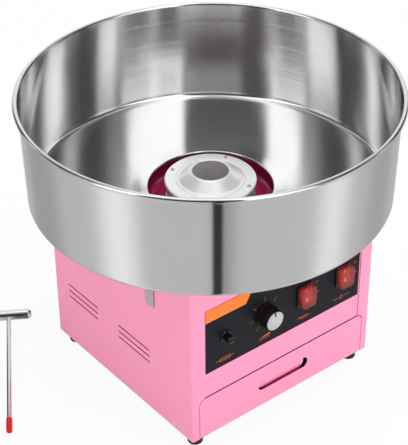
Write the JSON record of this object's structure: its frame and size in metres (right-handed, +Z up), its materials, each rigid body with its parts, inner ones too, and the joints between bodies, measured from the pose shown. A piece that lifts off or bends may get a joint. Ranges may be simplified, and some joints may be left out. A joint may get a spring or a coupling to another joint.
{
  "type": "cotton candy machine",
  "caption": "Electric floss machine: sheet-steel body with control panel and drawer, spinning heated head in a lift-off steel bowl, loose sugar scoop.",
  "frame": {"origin": "middle of the pressed panel in the bottom plate, on its underside and on the head's axis", "axes": "+Z up along the head axis, front panel and drawer face -Y, side with the scoop towards -X"},
  "size_m": [0.598, 0.52, 0.4365],
  "materials": {
    "pink_enamel": "gloss pink powder coat",
    "rose_enamel": "deep rose gloss enamel",
    "polished_steel": "polished stainless steel",
    "zinc_steel": "bright zinc-plated or stainless sheet",
    "cast_aluminium": "machined casting",
    "spun_aluminium": "satin spun aluminium",
    "brass": "turned",
    "copper": "varnished copper winding on laminations",
    "nichrome": "oxidised resistance ribbon",
    "plate_black": "printed satin control plate",
    "accent_orange": "printed satin strip",
    "black_plastic": "semi-gloss moulded",
    "red_plastic": "glossy moulded",
    "clear_plastic": "clear flexible splash boot",
    "knob_silver": "spun-finish disc",
    "glass": "clear",
    "rubber": "black moulded",
    "carbon": "sintered carbon",
    "white_plastic": "moulded insulator"
  },
  "bodies": {
    "machine": {"body_shell": "pink_enamel", "top_deck": "pink_enamel", "bottom_plate": "zinc_steel", "drawer_shelf": "zinc_steel", "drawer_guide_left": "zinc_steel", "drawer_guide_right": "zinc_steel", "foot_front_left": "rubber", "foot_front_right": "rubber", "foot_rear_left": "rubber", "foot_rear_right": "rubber", "front_panel": "pink_enamel", "control_plate": "plate_black", "accent_strip": "accent_orange", "fuse_holder": "black_plastic", "heat_regulator": "black_plastic", "heat_switch_case": "black_plastic", "heat_switch_boot": "clear_plastic", "power_switch_case": "black_plastic", "power_switch_boot": "clear_plastic", "motor_bracket": "zinc_steel", "motor_can": "cast_aluminium", "motor_end_bell": "cast_aluminium", "motor_bearing_upper": "zinc_steel", "motor_bearing_lower": "zinc_steel", "motor_stator": "copper", "brush_holder": "black_plastic", "carbon_brush_lower": "carbon", "carbon_brush_upper": "carbon", "cable_gland": "black_plastic", "gland_nut": "black_plastic", "head_well": "rose_enamel", "bowl_gasket": "rubber"},
    "scoop": {"scoop_cup": "polished_steel", "scoop_rod": "polished_steel", "scoop_tip": "red_plastic"},
    "bowl_unit": {"bowl": "polished_steel", "bowl_clip_front_left": "zinc_steel", "bowl_clip_front_right": "zinc_steel", "bowl_clip_rear_left": "zinc_steel", "bowl_clip_rear_right": "zinc_steel"},
    "drawer": {"drawer_front": "pink_enamel", "drawer_tray": "zinc_steel"},
    "head": {"motor_rotor": "zinc_steel", "drive_shaft": "zinc_steel", "cooling_fan": "black_plastic", "slip_ring_sleeve": "white_plastic", "slip_ring_lower": "brass", "slip_ring_upper": "brass", "head_base": "cast_aluminium", "hub_nut": "zinc_steel", "slotted_band": "spun_aluminium", "heating_element": "nichrome", "head_cap": "spun_aluminium"},
    "knob": {"control_knob": "black_plastic", "knob_cap": "knob_silver", "knob_spindle": "zinc_steel"},
    "fuse_carrier": {"fuse_cap": "black_plastic", "fuse": "glass"},
    "heat_rocker_body": {"heat_rocker": "red_plastic"},
    "power_rocker_body": {"power_rocker": "red_plastic"}
  },
  "joints": [
    {"name": "bowl_lift", "type": "slide", "parent": "machine", "child": "bowl_unit", "axis": [0, 0, 1], "range_m": [0, 0.16]},
    {"name": "drawer_slide", "type": "slide", "parent": "machine", "child": "drawer", "axis": [0, -1, 0], "range_m": [0, 0.25]},
    {"name": "head_spin", "type": "hinge", "parent": "machine", "child": "head", "pos_m": [0, 0, 0.26], "axis": [0, 0, 1], "continuous": true},
    {"name": "knob_turn", "type": "hinge", "parent": "machine", "child": "knob", "pos_m": [-0.0364, -0.17, 0.161], "axis": [0, -1, 0], "range_deg": [-150, 150]},
    {"name": "heat_rocker_tilt", "type": "hinge", "parent": "machine", "child": "heat_rocker_body", "pos_m": [0.0342, -0.1581, 0.1592], "axis": [1, 0, 0], "range_deg": [0, 16]},
    {"name": "power_rocker_tilt", "type": "hinge", "parent": "machine", "child": "power_rocker_body", "pos_m": [0.105, -0.1581, 0.1592], "axis": [1, 0, 0], "range_deg": [0, 16]},
    {"name": "fuse_draw", "type": "slide", "parent": "machine", "child": "fuse_carrier", "axis": [0, -1, 0], "range_m": [0, 0.03]},
    {"name": "scoop_lift", "type": "slide", "parent": "machine", "child": "scoop", "axis": [0, 0, 1], "range_m": [0, 0.15]}
  ]
}
